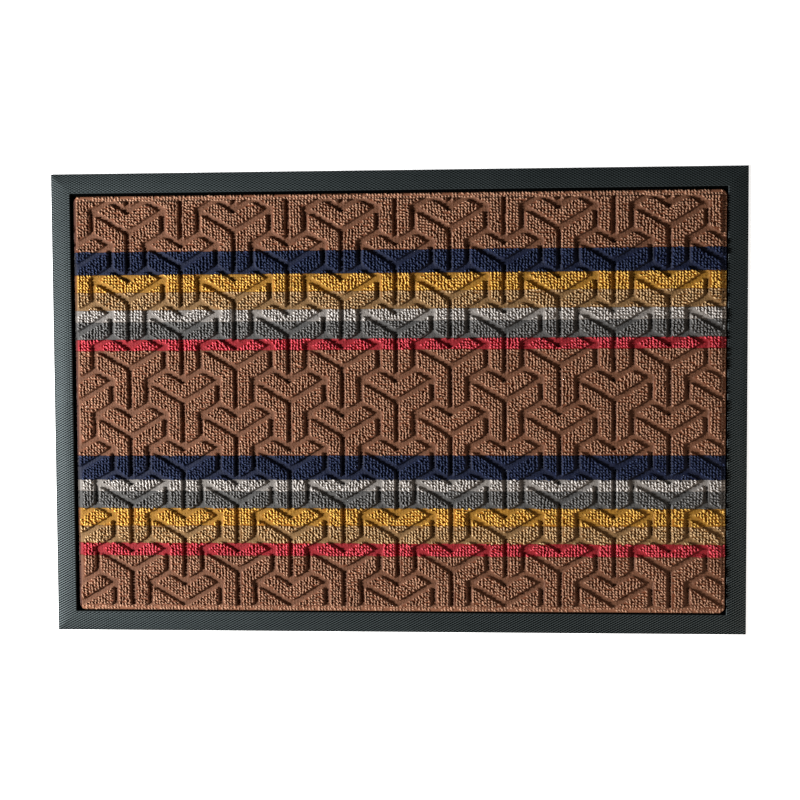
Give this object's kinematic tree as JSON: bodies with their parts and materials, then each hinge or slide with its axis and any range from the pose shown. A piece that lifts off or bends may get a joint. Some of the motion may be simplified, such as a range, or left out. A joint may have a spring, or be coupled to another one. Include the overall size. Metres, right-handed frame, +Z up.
{
  "type": "door mat",
  "caption": "Flat rectangular door mat: a bevelled rubber tray holding a striped carpet insert whose loop pile is pressed into raised chevron and bent blocks.",
  "frame": {"origin": "centre of the underside, on the floor", "axes": "+X along the mat's length, +Y across the mat towards its rear edge, +Z up out of the pile"},
  "size_m": [0.6, 0.4, 0.008],
  "materials": {
    "border_rubber": "satin, fine woven imprint",
    "latex": "matt latex precoat",
    "woven_backing": "plain woven polypropylene",
    "brown_yarn": "bulked loop pile",
    "navy_yarn": "bulked loop pile",
    "gold_yarn": "bulked loop pile",
    "gold_heather_yarn": "two-tone bulked loop pile",
    "ivory_yarn": "bulked loop pile",
    "grey_yarn": "bulked loop pile",
    "red_yarn": "bulked loop pile"
  },
  "bodies": {
    "root": {"rubber_base": "border_rubber", "bonding_layer": "latex", "backing_cloth": "woven_backing", "pile_brown_rear": "brown_yarn", "pile_navy_rear": "navy_yarn", "pile_gold_rear": "gold_yarn", "pile_gold_heather_rear": "gold_heather_yarn", "pile_ivory_rear": "ivory_yarn", "pile_grey_rear": "grey_yarn", "pile_red_rear": "red_yarn", "pile_brown_middle": "brown_yarn", "pile_navy_front": "navy_yarn", "pile_ivory_front": "ivory_yarn", "pile_grey_front": "grey_yarn", "pile_gold_front": "gold_yarn", "pile_gold_heather_front": "gold_heather_yarn", "pile_red_front": "red_yarn", "pile_brown_front": "brown_yarn"}
  },
  "joints": []
}
